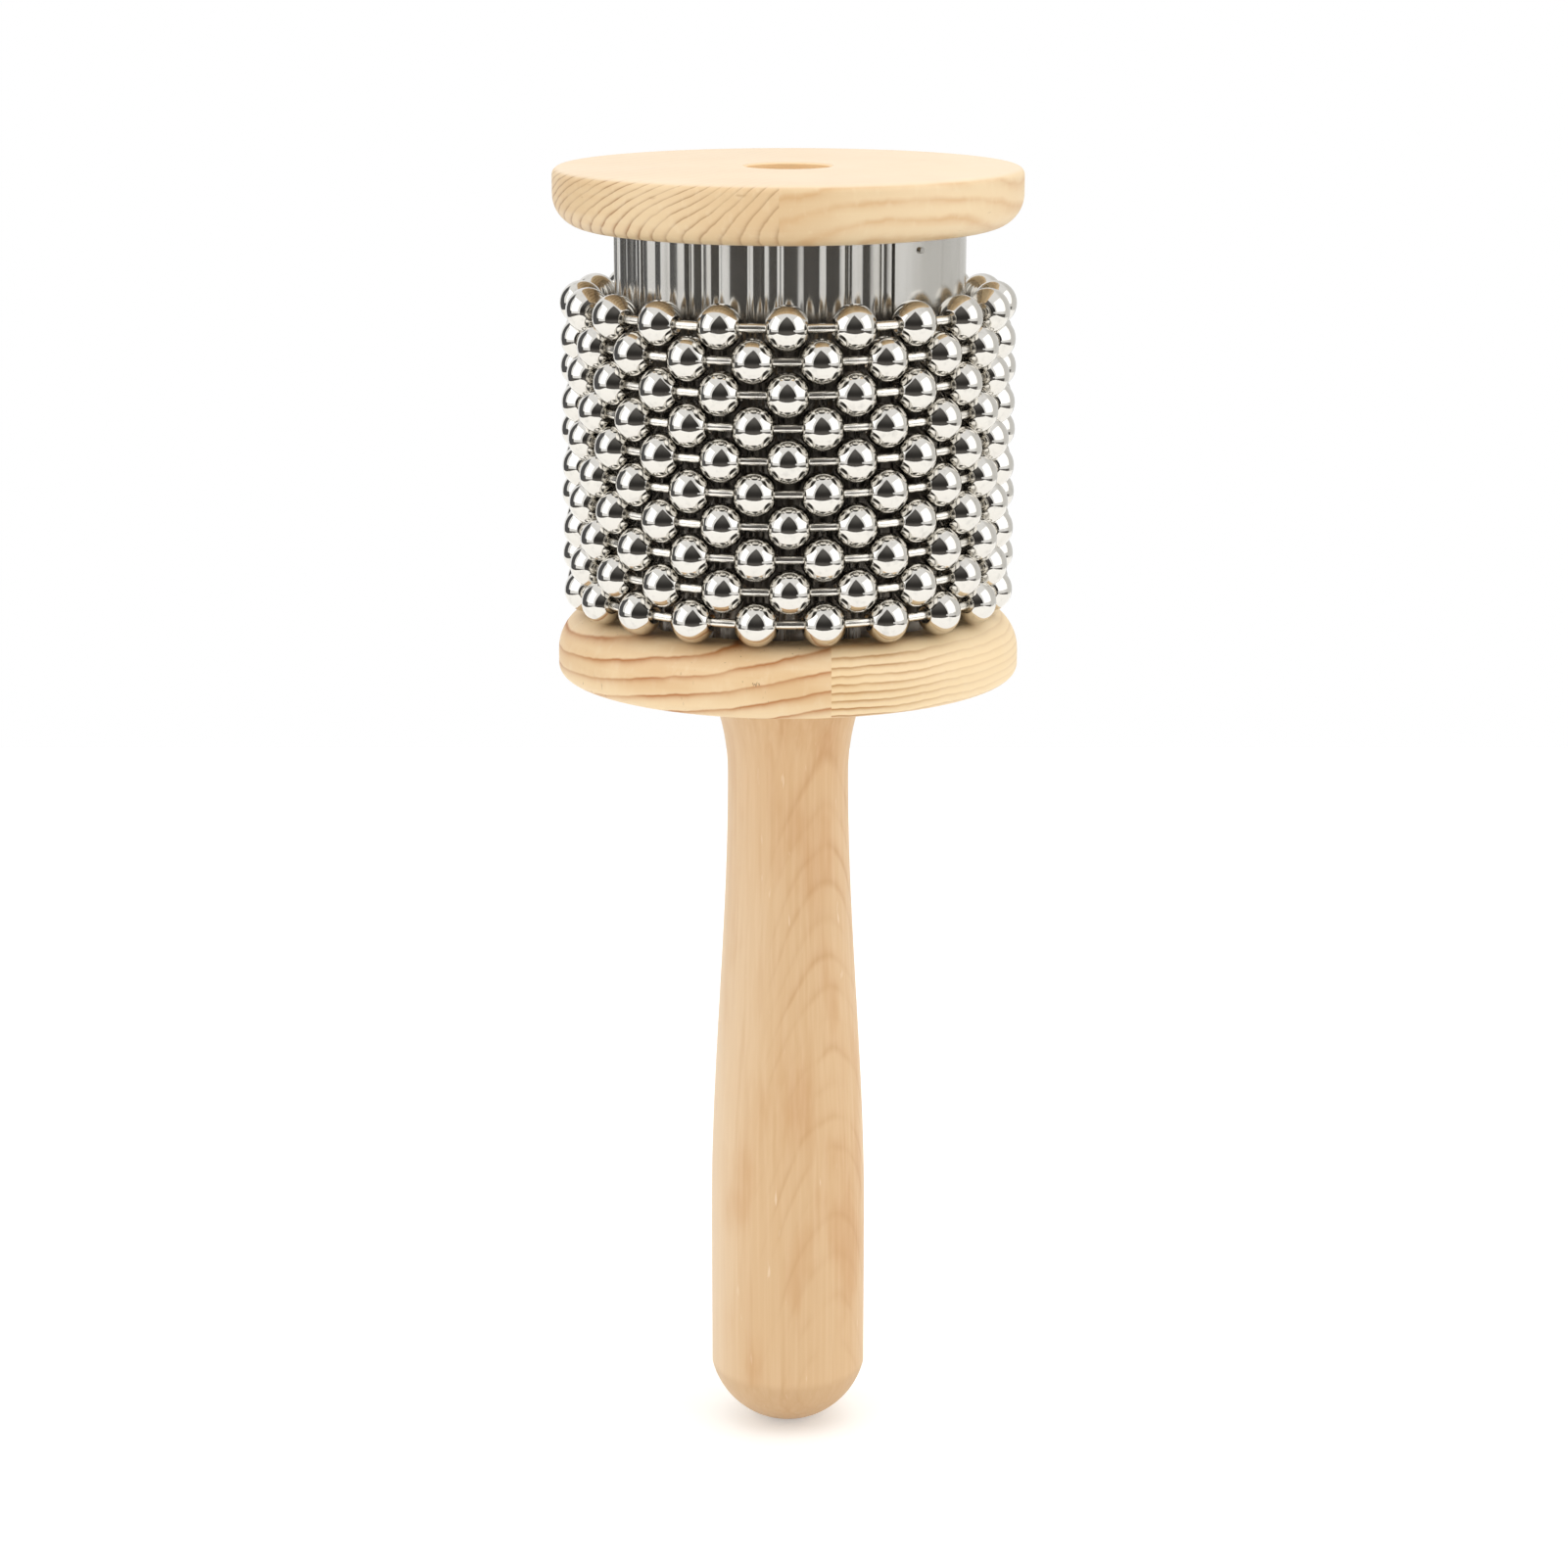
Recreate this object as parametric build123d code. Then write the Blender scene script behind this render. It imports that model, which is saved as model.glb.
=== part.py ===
from build123d import *
import math
import os

# Cabasa: a fluted steel drum between two wooden discs on a turned handle, wrapped in loops of
# ball chain. Millimetres, +Z up along the axis with the handle below. The front is -Y, and an
# azimuth is measured from the front towards +X. The origin is the middle of the handle's grip.

# Handle: sizes from the domed end up to the tenon
DOME_H = 9.5
GRIP_D = 24.3
GRIP_L = 25.0
TAPER_L = 72.5
NECK_D = 18.6
FLARE_L = 16.3
FLARE_OUT = 4.1
TENON_D = 14.0
TENON_IN_CORE = 10.0
TENON_CHAMFER = 0.8

# Wooden discs: the edges towards the chain are well rounded, the outer ones only eased
LOWER_DISC_T = 9.8
LOWER_DISC_UPPER_ROUND = 6.2
LOWER_DISC_LOWER_ROUND = 1.5
UPPER_DISC_T = 8.8
UPPER_DISC_UPPER_ROUND = 1.2
UPPER_DISC_LOWER_ROUND = 4.9
RIM_OVERHANG = 0.8
TOP_BORE_D = 13.0
TOP_BORE_CHAMFER = 0.3

# Scraper sleeve: a fluted sheet, wrapped round, with a plain margin that laps over its own end.
# The pitch is that of this many flutes round the drum, and the crest takes its share of it.
SLEEVE_D = 52.0
FLUTES = 54
FLUTE_DEPTH = 0.45
CREST_SHARE = 0.8
SHEET_T = 0.4
SEAM_AZIMUTH = 35.2
MARGIN_FLUTES = 9
LAP_FLUTES = 4
LAP_RAMP_FLUTES = 2
LAP_GAP = 0.1

# Brads that pin the lap to the core
BRADS = 3
BRAD_FROM_SEAM = 4.9
BRAD_D = 0.6
BRAD_L = 10.0
BRAD_TIP_L = 1.5
BRAD_HEAD_D = 0.9
BRAD_HEAD_T = 0.4
BRAD_INSET = 1.8

# Screw and washer, down the bore of the core
WEB_T = 8.0
WASHER_D = 11.0
WASHER_T = 1.0
SCREW_D = 4.0
SCREW_BITE = 16.0
SCREW_TIP_L = 3.0
SCREW_HEAD_D = 8.0
SCREW_HEAD_H = 2.8
SCREW_HEAD_ROUND = 1.2
DRIVE_SLOT_W = 1.1
DRIVE_SLOT_L = 4.4
DRIVE_SLOT_DEPTH = 1.7

# Ball chain
CHAIN_LOOPS = 10
BEADS_PER_LOOP = 20
BEAD_D = 6.65
BEAD_WALL = 0.35
END_RING_W = 0.6
ROD_D = 1.35
HEAD_LIP = 0.15
CHAIN_TRAVEL = 8.0
TOP_LOOP_TURN = -0.4
TURN_PER_LOOP = -0.1

# Clearances: radial ones between round faces, axial ones between ends
WOOD_FIT = 0.05
SLEEVE_FIT = 0.05
BRAD_FIT = 0.05
SCREW_FIT = 0.05
WEB_HOLE_FIT = 0.25
WASHER_FIT = 0.3
ROD_PLAY = 0.15
HEAD_PLAY = 0.08
TENON_END_GAP = 0.5
PILOT_END_GAP = 1.0
HEAD_ROOM = 1.5
LOOP_GAP = 0.13
SEAT_GAP = 0.15
CHAIN_SLACK = 0.65

# Chain layout: the loops lie clear of the brads, and each row nests between the beads below it
CREST_R = SLEEVE_D / 2
LAP_RISE = SHEET_T + LAP_GAP
BEAD_R = BEAD_D / 2
RING_R = CREST_R + LAP_RISE + BRAD_HEAD_T + CHAIN_SLACK + BEAD_R
HALF_PITCH = math.pi / BEADS_PER_LOOP
NEST_SPAN = 2 * RING_R * math.sin(HALF_PITCH / 2)
ROW_REACH = BEAD_D + LOOP_GAP
ROW_STEP = max(math.sqrt(max(ROW_REACH**2 - NEST_SPAN**2, 0)), ROW_REACH / 2)
MAT_H = BEAD_D + (CHAIN_LOOPS - 1) * ROW_STEP
DRUM_L = SEAT_GAP + MAT_H + CHAIN_TRAVEL + SEAT_GAP
DISC_R = RING_R + BEAD_R + RIM_OVERHANG

# Heights along the axis
GRIP_TOP = GRIP_L / 2
NECK_Z = GRIP_TOP + TAPER_L
SHOULDER_Z = NECK_Z + FLARE_L
DRUM_Z0 = SHOULDER_Z + LOWER_DISC_T
DRUM_Z1 = DRUM_Z0 + DRUM_L
TENON_TOP = DRUM_Z0 + TENON_IN_CORE
WEB_Z0 = TENON_TOP + TENON_END_GAP
WEB_Z1 = WEB_Z0 + WEB_T
POCKET_TOP = WEB_Z1 + WASHER_T + SCREW_HEAD_H + HEAD_ROOM
SCREW_END = TENON_TOP - SCREW_BITE

BOTTOM_UP = (Align.CENTER, Align.CENTER, Align.MIN)
TOP_DOWN = (Align.CENTER, Align.CENTER, Align.MAX)
WALL_SHARE = 0.45
ROUNDS_SHARE = 0.9


def rod(diameter, z0, z1):
    """A solid cylinder on the axis, from one height to another."""
    return Pos(0, 0, z0) * Cylinder(diameter / 2, z1 - z0, align=BOTTOM_UP)


def turned(edges):
    """A solid of revolution about Z from an outline given as (radius, height)."""
    return revolve(Plane.XZ * make_face(edges), Axis.Z, 360)


def radial_plane(azimuth, radius, z):
    """A plane that faces straight out of the drum at this azimuth."""
    angle = math.radians(azimuth)
    outward = (math.sin(angle), -math.cos(angle), 0)
    return Plane(origin=(radius * outward[0], radius * outward[1], z), z_dir=outward)


def handle():
    """Turned handle: tenon, shoulder, concave flare, swelling taper, straight grip, domed end."""
    tenon_r = TENON_D / 2
    neck_r = NECK_D / 2
    grip_r = GRIP_D / 2
    neck = (neck_r, NECK_Z)
    shoulder = (neck_r + FLARE_OUT, SHOULDER_Z)
    grip_top = (grip_r, GRIP_TOP)
    grip_foot = (grip_r, -GRIP_TOP)
    tip = (0, -GRIP_TOP - DOME_H)
    chamfer_top = (tenon_r - TENON_CHAMFER, TENON_TOP)
    chamfer_foot = (tenon_r, TENON_TOP - TENON_CHAMFER)
    body = turned([
        Line((0, TENON_TOP), chamfer_top),
        Line(chamfer_top, chamfer_foot),
        Line(chamfer_foot, (tenon_r, SHOULDER_Z)),
        Line((tenon_r, SHOULDER_Z), shoulder),
        TangentArc(neck, shoulder, tangent=(0, 1)),
        Bezier(neck, (neck_r, NECK_Z - TAPER_L / 3), (grip_r, GRIP_TOP + TAPER_L / 3), grip_top),
        Line(grip_top, grip_foot),
        TangentArc(tip, grip_foot, tangent=(1, 0)),
        Line(tip, (0, TENON_TOP)),
    ])
    return body - rod(SCREW_D + 2 * SCREW_FIT, SCREW_END - PILOT_END_GAP, TENON_TOP)


def rounded_disc(thickness, z0, upper_round, lower_round):
    """A round board with rounded edges, which together take no more than most of its thickness."""
    scale = min(1, ROUNDS_SHARE * thickness / (upper_round + lower_round))
    board = rod(2 * DISC_R, z0, z0 + thickness)
    board = fillet(board.edges().sort_by(Axis.Z)[-1], scale * upper_round)
    return fillet(board.edges().sort_by(Axis.Z)[0], scale * lower_round)


def lower_disc():
    """Lower disc, with the hole that the handle's tenon passes through."""
    board = rounded_disc(LOWER_DISC_T, SHOULDER_Z, LOWER_DISC_UPPER_ROUND, LOWER_DISC_LOWER_ROUND)
    return board - rod(TENON_D + 2 * WOOD_FIT, SHOULDER_Z, DRUM_Z0)


def upper_disc():
    """Upper disc, with the bore that reaches down to the screw."""
    top = DRUM_Z1 + UPPER_DISC_T
    board = rounded_disc(UPPER_DISC_T, DRUM_Z1, UPPER_DISC_UPPER_ROUND, UPPER_DISC_LOWER_ROUND)
    board -= rod(TOP_BORE_D, DRUM_Z1, top)
    mouth = board.edges().filter_by(GeomType.CIRCLE).group_by(Axis.Z)[-1].sort_by(SortBy.RADIUS)[0]
    return chamfer(mouth, TOP_BORE_CHAMFER)


def brad_planes():
    """The seats of the brads: on the plain margin, near both ends and evenly between."""
    margin_r = CREST_R + LAP_RISE
    azimuth = SEAM_AZIMUTH + math.degrees(BRAD_FROM_SEAM / margin_r)
    step = (DRUM_L - 2 * BRAD_INSET) / max(BRADS - 1, 1)
    heights = [DRUM_Z1 - BRAD_INSET - i * step for i in range(BRADS)]
    return [radial_plane(azimuth, margin_r, z) for z in heights]


def brad_holes():
    """The holes that the brads' shanks make in the sheet and the core."""
    hole = Cylinder(BRAD_D / 2 + BRAD_FIT, BRAD_L + BRAD_FIT, align=TOP_DOWN)
    return [plane * hole for plane in brad_planes()]


def core():
    """Wooden core: tenon socket below, a web that the screw pulls on, and the bore above it."""
    core_r = CREST_R - FLUTE_DEPTH - SHEET_T - SLEEVE_FIT
    block = rod(2 * core_r, DRUM_Z0, DRUM_Z1)
    block -= rod(TENON_D + 2 * WOOD_FIT, DRUM_Z0, WEB_Z0)
    block -= rod(SCREW_D + 2 * WEB_HOLE_FIT, WEB_Z0, WEB_Z1)
    block -= rod(WASHER_D + 2 * WASHER_FIT, WEB_Z1, POCKET_TOP)
    block -= rod(TOP_BORE_D, POCKET_TOP, DRUM_Z1)
    return block - brad_holes()


def scraper_sleeve():
    """Fluted sheet as one strip: a plain margin on top of its own end, then flutes once round.

    A flute is a wide crest arc and a narrow valley arc that meet with the same slope.
    """
    pitch = 360 / FLUTES
    half_crest = CREST_SHARE * pitch / 2
    half_valley = pitch / 2 - half_crest
    joint_drop = CREST_SHARE * FLUTE_DEPTH
    margin_end = SEAM_AZIMUTH + MARGIN_FLUTES * pitch
    ramp = LAP_RAMP_FLUTES * pitch
    flutes = FLUTES - MARGIN_FLUTES + LAP_FLUTES
    strip_end = margin_end + flutes * pitch + half_crest

    def at(azimuth, drop, inset):
        lift = LAP_RISE * min(max((margin_end + ramp - azimuth) / ramp, 0), 1)
        radius = CREST_R + lift - drop - inset
        angle = math.radians(azimuth)
        return (radius * math.sin(angle), -radius * math.cos(angle))

    edges = []
    for inset in (0, SHEET_T):
        margin_mid = (SEAM_AZIMUTH + margin_end) / 2
        crest = at(margin_end, 0, inset)
        along = (-crest[1], crest[0])
        edges.append(ThreePointArc(at(SEAM_AZIMUTH, 0, inset), at(margin_mid, 0, inset), crest))
        edges.append(TangentArc(crest, at(margin_end + half_crest, joint_drop, inset), tangent=along))
        for i in range(flutes):
            valley = margin_end + (i + 0.5) * pitch
            valley_in = at(valley - half_valley, joint_drop, inset)
            valley_out = at(valley + half_valley, joint_drop, inset)
            crest_mid = at(valley + pitch / 2, 0, inset)
            crest_out = at(valley + pitch / 2 + half_crest, joint_drop, inset)
            edges.append(ThreePointArc(valley_in, at(valley, FLUTE_DEPTH, inset), valley_out))
            edges.append(ThreePointArc(valley_out, crest_mid, crest_out))
    edges.append(Line(at(SEAM_AZIMUTH, 0, 0), at(SEAM_AZIMUTH, 0, SHEET_T)))
    edges.append(Line(at(strip_end, joint_drop, 0), at(strip_end, joint_drop, SHEET_T)))
    sheet = Pos(0, 0, DRUM_Z0) * extrude(make_face(edges), DRUM_L)
    return sheet - brad_holes()


def sleeve_brads():
    """Brads with flat round heads and pointed shanks."""
    shank_l = BRAD_L - BRAD_TIP_L
    head = Cylinder(BRAD_HEAD_D / 2, BRAD_HEAD_T, align=BOTTOM_UP)
    shank = Cylinder(BRAD_D / 2, shank_l, align=TOP_DOWN)
    point = Pos(0, 0, -shank_l) * Cone(0, BRAD_D / 2, BRAD_TIP_L, align=TOP_DOWN)
    brad = head + shank + point
    return [plane * brad for plane in brad_planes()]


def screw_washer():
    """Flat washer on the web of the core."""
    disc = rod(WASHER_D, WEB_Z1, WEB_Z1 + WASHER_T)
    return disc - rod(SCREW_D + 2 * WEB_HOLE_FIT, WEB_Z1, WEB_Z1 + WASHER_T)


def handle_screw():
    """Pan head screw with a cross slot, through the washer and the web into the tenon."""
    seat = WEB_Z1 + WASHER_T
    crown = seat + SCREW_HEAD_H
    head = rod(SCREW_HEAD_D, seat, crown)
    head = fillet(head.edges().sort_by(Axis.Z)[-1], min(SCREW_HEAD_ROUND, WALL_SHARE * SCREW_HEAD_H))
    shank_end = SCREW_END + SCREW_TIP_L
    shank = rod(SCREW_D, shank_end, seat)
    point = Pos(0, 0, shank_end) * Cone(0, SCREW_D / 2, SCREW_TIP_L, align=TOP_DOWN)
    slot = Box(DRIVE_SLOT_L, DRIVE_SLOT_W, DRIVE_SLOT_DEPTH, align=TOP_DOWN)
    cross = Pos(0, 0, crown) * (slot + Rot(0, 0, 90) * slot)
    return head + shank + point - cross


# Ball chain sizes that beads and links share
ROD_R = ROD_D / 2
HOLE_R = ROD_R + ROD_PLAY
END_R = HOLE_R + END_RING_W
HEAD_R = HOLE_R + HEAD_LIP
BEAD_END = math.sqrt(BEAD_R**2 - END_R**2)
WALL_MID = BEAD_END - BEAD_WALL / 2


def bead():
    """Hollow bead along X: a ball with flat pressed ends, and a hole in each end."""
    inner_r = BEAD_R - BEAD_WALL
    inner_end = BEAD_END - BEAD_WALL
    inner_end_r = math.sqrt(inner_r**2 - inner_end**2)
    edges = [
        ThreePointArc((-BEAD_END, END_R), (0, BEAD_R), (BEAD_END, END_R)),
        ThreePointArc((-inner_end, inner_end_r), (0, inner_r), (inner_end, inner_end_r)),
    ]
    for side in (-1, 1):
        edges.append(Line((side * BEAD_END, END_R), (side * BEAD_END, HOLE_R)))
        edges.append(Line((side * BEAD_END, HOLE_R), (side * inner_end, HOLE_R)))
        edges.append(Line((side * inner_end, HOLE_R), (side * inner_end, inner_end_r)))
    return revolve(make_face(edges), Axis.X, 360)


def link():
    """Dumbbell link along X: each end passes a bead's hole and keeps a round head inside it.

    The link leaves the bead at half a pitch to the bead's own axis, through the middle of the
    hole, and its head stays a little clear of the hole's inner edge.
    """
    lean = (BEAD_WALL / 2 + HEAD_R) * math.sin(HALF_PITCH)
    edge_r = max(HOLE_R - lean, 0)
    seat = math.sqrt((HEAD_R + HEAD_PLAY)**2 - edge_r**2)
    head_inset = (BEAD_WALL / 2 + seat) / math.cos(HALF_PITCH)
    hole_to_hole = 2 * (RING_R * math.sin(HALF_PITCH) - WALL_MID * math.cos(HALF_PITCH))
    head_x = hole_to_hole / 2 + head_inset
    neck_x = head_x - math.sqrt(HEAD_R**2 - ROD_R**2)
    end_x = head_x + HEAD_R
    edges = [Line((-neck_x, ROD_R), (neck_x, ROD_R)), Line((-end_x, 0), (end_x, 0))]
    for side in (-1, 1):
        edges.append(ThreePointArc((side * neck_x, ROD_R), (side * head_x, HEAD_R), (side * end_x, 0)))
    return revolve(make_face(edges), Axis.X, 360)


def round_the_drum(piece, radius, loop, half_steps):
    """Copies of a piece round one loop, each along the loop, from this many half pitches on."""
    z = DRUM_Z0 + SEAT_GAP + BEAD_R + loop * ROW_STEP
    rows_below_top = CHAIN_LOOPS - 1 - loop
    turn = math.radians(TOP_LOOP_TURN - TURN_PER_LOOP * rows_below_top)
    copies = []
    for i in range(BEADS_PER_LOOP):
        angle = turn + (2 * i + rows_below_top + half_steps) * HALF_PITCH
        place = (radius * math.sin(angle), -radius * math.cos(angle), z)
        along = (math.cos(angle), math.sin(angle), 0)
        copies.append(Plane(origin=place, x_dir=along, z_dir=(0, 0, 1)) * piece)
    return copies


def write(name, shapes):
    """Write one node, as a single solid or as a group of separate solids."""
    solids = [solid for shape in shapes for solid in shape.solids()]
    whole = solids[0] if len(solids) == 1 else Compound(solids)
    export_step(whole, f"parts/{name}.step")


os.makedirs("parts", exist_ok=True)
write("handle", [handle()])
write("lower_disc", [lower_disc()])
write("core", [core()])
write("scraper_sleeve", [scraper_sleeve()])
write("sleeve_brads", sleeve_brads())
write("upper_disc", [upper_disc()])
write("screw_washer", [screw_washer()])
write("handle_screw", [handle_screw()])

chain_bead = bead()
chain_link = link()
LINK_R = RING_R * math.cos(HALF_PITCH) + WALL_MID * math.sin(HALF_PITCH)
for loop in range(CHAIN_LOOPS):
    write(f"chain_{loop + 1:02d}_beads", round_the_drum(chain_bead, RING_R, loop, 0))
    write(f"chain_{loop + 1:02d}_links", round_the_drum(chain_link, LINK_R, loop, 1))

print(f"disc diameter {2 * DISC_R:.2f}, drum length {DRUM_L:.2f}, chain ring radius {RING_R:.3f}")
print(f"row step {ROW_STEP:.3f}, top face at {DRUM_Z1 + UPPER_DISC_T:.2f}, tip at {-GRIP_TOP - DOME_H:.2f}")
print(f"top bore's straight wall from {POCKET_TOP:.2f} to {DRUM_Z1 + UPPER_DISC_T - TOP_BORE_CHAMFER:.2f}")
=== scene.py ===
import bpy
import numpy as np
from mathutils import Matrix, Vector


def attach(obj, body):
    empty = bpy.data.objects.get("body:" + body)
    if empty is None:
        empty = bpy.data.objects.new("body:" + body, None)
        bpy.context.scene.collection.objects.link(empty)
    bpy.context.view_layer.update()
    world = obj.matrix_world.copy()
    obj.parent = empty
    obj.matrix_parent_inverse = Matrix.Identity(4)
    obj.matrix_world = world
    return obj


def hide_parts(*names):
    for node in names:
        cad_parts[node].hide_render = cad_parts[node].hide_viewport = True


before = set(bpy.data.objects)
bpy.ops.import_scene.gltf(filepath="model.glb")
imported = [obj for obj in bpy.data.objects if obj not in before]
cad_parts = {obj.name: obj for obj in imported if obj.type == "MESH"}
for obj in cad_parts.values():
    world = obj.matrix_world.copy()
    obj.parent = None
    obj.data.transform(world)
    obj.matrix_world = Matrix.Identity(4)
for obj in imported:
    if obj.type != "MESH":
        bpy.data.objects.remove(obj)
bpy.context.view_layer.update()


# Handle: one piece of pale hardwood, turned on a lathe from its domed end up to the tenon.
# The tenon goes through the lower disc into the core, where a screw pulls it tight.

MM = 0.001
GRIP_R = 12.15
GRIP_END = 12.5
DOME_TIP = -22.0
NECK_R = 9.3
NECK_Z = 85.0
TAPER_L = NECK_Z - GRIP_END
SHOULDER_R = 13.4
SHOULDER_Z = 101.3
TENON_R = 7.0
TENON_TOP = 121.1
TENON_CHAMFER = 0.8
PILOT_R = 2.05
PILOT_END = 104.1
HANDLE_SIDES = 96
ARCH_AZIMUTH = 36
ARCH_LEAN = 0.227
ARCH_SPACING = 0.0015
HEART_AND_SHADE_AZIMUTH = 18
DOME_SHADE_BLUR = 0.0009


def arc(centre, radius, start, stop, count):
    """Points (c_x + R cos t, c_z + R sin t) for t from start to stop in degrees."""
    t = np.radians(np.linspace(start, stop, count))
    return np.stack([centre[0] + radius * np.cos(t), centre[1] + radius * np.sin(t)], axis=1)


def handle_profile():
    """Outline (radius, height) in mm: a round dome, a straight grip, a cubic swell, a round flare.

    The dome's circle passes through the tip and the grip's foot, the swell is a Bezier curve with
    its handles a third of the way along, and the flare's circle starts upright at the neck.
    """
    dome_h = -GRIP_END - DOME_TIP
    dome_r = (GRIP_R**2 + dome_h**2) / (2 * dome_h)
    foot = np.degrees(np.arcsin(GRIP_R / dome_r))
    dome = arc((0, DOME_TIP + dome_r), dome_r, -90, -90 + foot, 30)
    grip = np.stack([np.full(6, GRIP_R), np.linspace(-GRIP_END + 0.5, GRIP_END - 0.5, 6)], axis=1)
    t = np.linspace(0, 1, 40)[:, None]
    ends = np.array([[GRIP_R, GRIP_END], [NECK_R, NECK_Z]])
    holds = np.array([[GRIP_R, GRIP_END + TAPER_L / 3], [NECK_R, NECK_Z - TAPER_L / 3]])
    swell = ((1 - t)**3 * ends[0] + 3 * t * (1 - t)**2 * holds[0]
             + 3 * t**2 * (1 - t) * holds[1] + t**3 * ends[1])
    rise = SHOULDER_Z - NECK_Z
    out = SHOULDER_R - NECK_R
    flare_r = (out**2 + rise**2) / (2 * out)
    lean = np.degrees(np.arcsin(rise / flare_r))
    flare = arc((NECK_R + flare_r, NECK_Z), flare_r, 180, 180 - lean, 20)
    tenon = np.array([
        [TENON_R, SHOULDER_Z], [TENON_R, TENON_TOP - TENON_CHAMFER],
        [TENON_R - TENON_CHAMFER, TENON_TOP],
        [PILOT_R, TENON_TOP], [PILOT_R, PILOT_END], [0, PILOT_END],
    ])
    return np.concatenate([dome, grip, swell, flare[1:], tenon])


def add_mesh(name, points, faces, crease=35):
    """An object at the origin with these points, in mm, and faces, smooth up to a crease in degrees."""
    mesh = bpy.data.meshes.new(name)
    mesh.from_pydata((np.asarray(points) * MM).tolist(), [], faces)
    mesh.shade_smooth()
    mesh.set_sharp_from_angle(angle=np.radians(crease))
    piece = bpy.data.objects.new(name, mesh)
    bpy.context.scene.collection.objects.link(piece)
    return piece


def grid_faces(rows, columns, close_rows, close_columns):
    """Quads (i, j), (i, j + 1), (i + 1, j + 1), (i + 1, j) of a grid that may close on itself."""
    i = np.arange(rows if close_rows else rows - 1)[:, None]
    j = np.arange(columns if close_columns else columns - 1)[None, :]
    below = i * columns
    above = (i + 1) % rows * columns
    right = (j + 1) % columns
    return np.stack([below + j, below + right, above + right, above + j], axis=2).reshape(-1, 4)


def turned(name, profile, around):
    """A turned piece: point (i, j) is (r_i sin a_j, -r_i cos a_j, z_i) with a_j = 2 pi j / around.

    A profile with its ends on the axis gets one point at each end, with triangles round it.
    Any other profile closes on itself, as a ring does.
    """
    poles = profile[0, 0] == 0
    rings = profile[1:-1] if poles else profile
    angle = np.linspace(0, 2 * np.pi, around, endpoint=False)
    radius, height = rings[:, :1], rings[:, 1:]
    grid = np.stack([radius * np.sin(angle), -radius * np.cos(angle), height + 0 * angle], axis=2)
    points = grid.reshape(-1, 3)
    faces = grid_faces(len(rings), around, not poles, True).tolist()
    if poles:
        foot = np.full(around, len(points))
        j = np.arange(around)
        following = (j + 1) % around
        last = (len(rings) - 1) * around
        points = np.concatenate([points, [[0, 0, profile[0, 1]], [0, 0, profile[-1, 1]]]])
        faces += np.stack([foot, following, j], axis=1).tolist()
        faces += np.stack([foot + 1, last + j, last + following], axis=1).tolist()
    return add_mesh(name, points, faces)


class Wire:
    """A socket in a node tree. Arithmetic on wires adds Math nodes, and node() adds any other."""

    def __init__(self, tree, socket):
        self.tree = tree
        self.socket = socket

    def node(self, kind, settings, sockets, output=0):
        """A new node: its type, its settings, which are set first, and its sockets' values or links."""
        made = self.tree.nodes.new("ShaderNode" + kind)
        for name, value in settings.items():
            setattr(made, name, value)
        for name, value in sockets.items():
            if isinstance(value, Wire):
                self.tree.links.new(value.socket, made.inputs[name])
            else:
                made.inputs[name].default_value = value
        return Wire(self.tree, made.outputs[output])

    def math(self, operation, *values):
        return self.node("Math", {"operation": operation}, dict(enumerate((self,) + values)))

    def __add__(self, other):
        return self.math("ADD", other)

    def __sub__(self, other):
        return self.math("SUBTRACT", other)

    def __rsub__(self, other):
        return self.node("Math", {"operation": "SUBTRACT"}, {0: other, 1: self})

    def __mul__(self, other):
        return self.math("MULTIPLY", other)

    def __truediv__(self, other):
        return self.math("DIVIDE", other)

    def __pow__(self, other):
        return self.math("POWER", other)

    __radd__ = __add__
    __rmul__ = __mul__

    def axis(self, index):
        """One coordinate of a vector: 0, 1 or 2."""
        return self.node("SeparateXYZ", {}, {0: self}, index)

    def step(self, low, high):
        """0 below low, 1 above high, smooth between."""
        settings = {"interpolation_type": "SMOOTHSTEP"}
        return self.node("MapRange", settings, {"Value": self, "From Min": low, "From Max": high})

    def noise(self, scale, stretch=(1, 1, 1), detail=2.0):
        """Smooth noise from 0 to 1 on these coordinates, with features about 1 / scale long."""
        spread = self.node("Mapping", {}, {"Vector": self, "Scale": stretch})
        return spread.node("TexNoise", {}, {"Vector": spread, "Scale": scale, "Detail": detail})

    def mix(self, low, high):
        """The colour low where this wire is 0 and high where it is 1."""
        return self.node("Mix", {"data_type": "RGBA"}, {0: self, 6: low, 7: high}, 2)

    def bump(self, distance, strength=1.0):
        """A bumped normal, with this wire as the height."""
        return self.node("Bump", {}, {"Strength": strength, "Distance": distance, "Height": self})


def paint(red, green, blue):
    """A colour given on the usual scale of 0 to 255, as linear light."""
    share = np.array([red, green, blue]) / 255
    linear = np.where(share <= 0.04045, share / 12.92, ((share + 0.055) / 1.055)**2.4)
    return (*linear.tolist(), 1.0)


def new_finish(name):
    """A new material and the wire of its Object coordinates."""
    finish = bpy.data.materials.new(name)
    finish.use_nodes = True
    coordinates = finish.node_tree.nodes.new("ShaderNodeTexCoord")
    return finish, Wire(finish.node_tree, coordinates.outputs["Object"])


def feed(finish, sockets):
    """Sets or links the sockets of a material's shader."""
    shader = finish.node_tree.nodes["Principled BSDF"]
    for name, value in sockets.items():
        if isinstance(value, Wire):
            finish.node_tree.links.new(value.socket, shader.inputs[name])
        else:
            shader.inputs[name].default_value = value


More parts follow.
